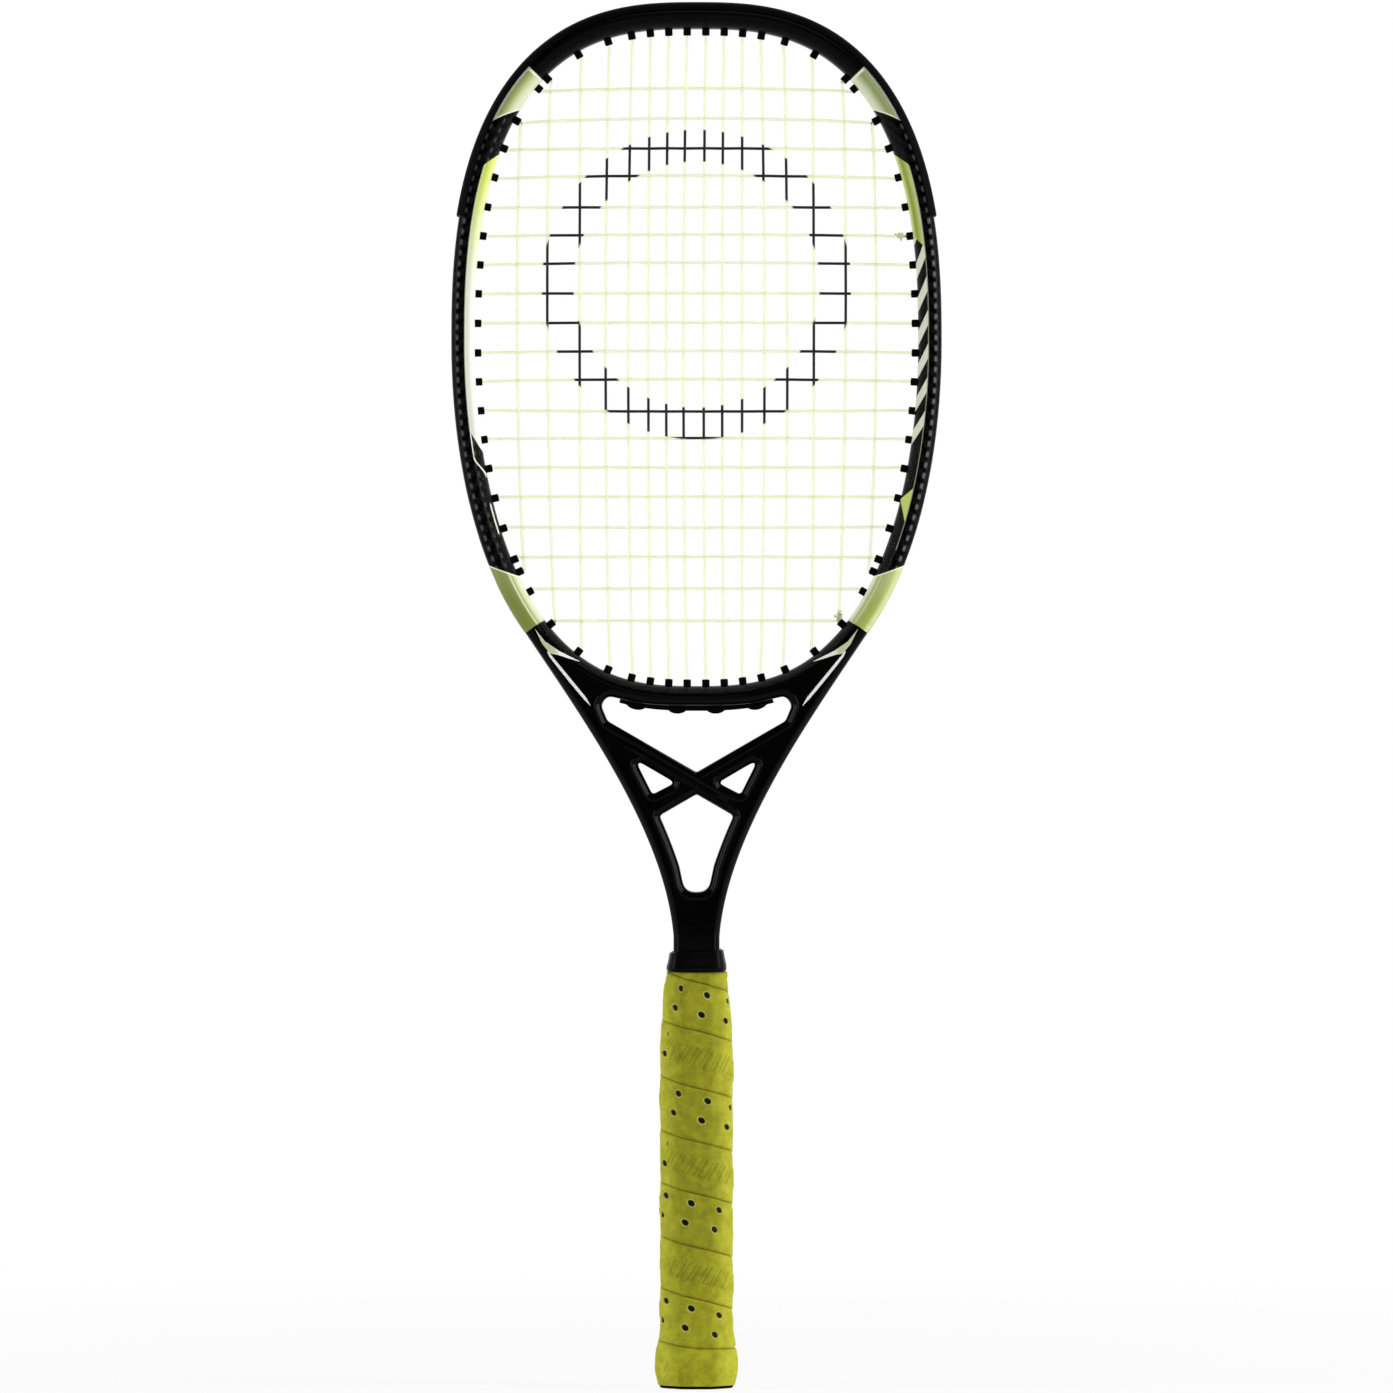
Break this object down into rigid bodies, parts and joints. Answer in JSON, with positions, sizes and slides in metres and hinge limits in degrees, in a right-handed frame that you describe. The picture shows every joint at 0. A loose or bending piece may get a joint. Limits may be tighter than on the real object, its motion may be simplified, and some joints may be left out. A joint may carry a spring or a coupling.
{
  "type": "crossminton racket",
  "caption": "Strung oval-head racket for crossminton: hollow hoop, braced open throat, round-cornered grip wound with tape.",
  "frame": {"origin": "centre of the flat end of the butt", "axes": "+Z along the handle towards the top of the head, X across the head, the string faces look along -Y and +Y"},
  "size_m": [0.209, 0.0319, 0.59],
  "materials": {
    "lacquered_composite": "clear lacquer over carbon weave, with yellow-green painted bands",
    "gloss_moulding": "gloss black with pale green accents",
    "black_nylon": "satin black",
    "string": "translucent pale yellow-green",
    "bare_composite": "bare composite tube",
    "foam": "rigid foam",
    "steel": "zinc plated",
    "tape": "perforated and embossed synthetic, yellow-green",
    "rubber": "soft black rubber"
  },
  "bodies": {
    "root": {"head_hoop": "lacquered_composite", "throat": "gloss_moulding", "bumper_guard": "black_nylon", "side_grommets_right": "black_nylon", "side_grommets_left": "black_nylon", "corner_grommets_right": "black_nylon", "corner_grommets_left": "black_nylon", "throat_grommets": "black_nylon", "main_string": "string", "cross_string": "string", "core_tube": "bare_composite", "pallet_front": "foam", "pallet_back": "foam", "butt_cap": "black_nylon", "butt_staple_left": "steel", "butt_staple_right": "steel", "tape_tack": "steel", "grip_tape": "tape", "finishing_tape": "tape", "grip_collar": "rubber"}
  },
  "joints": []
}
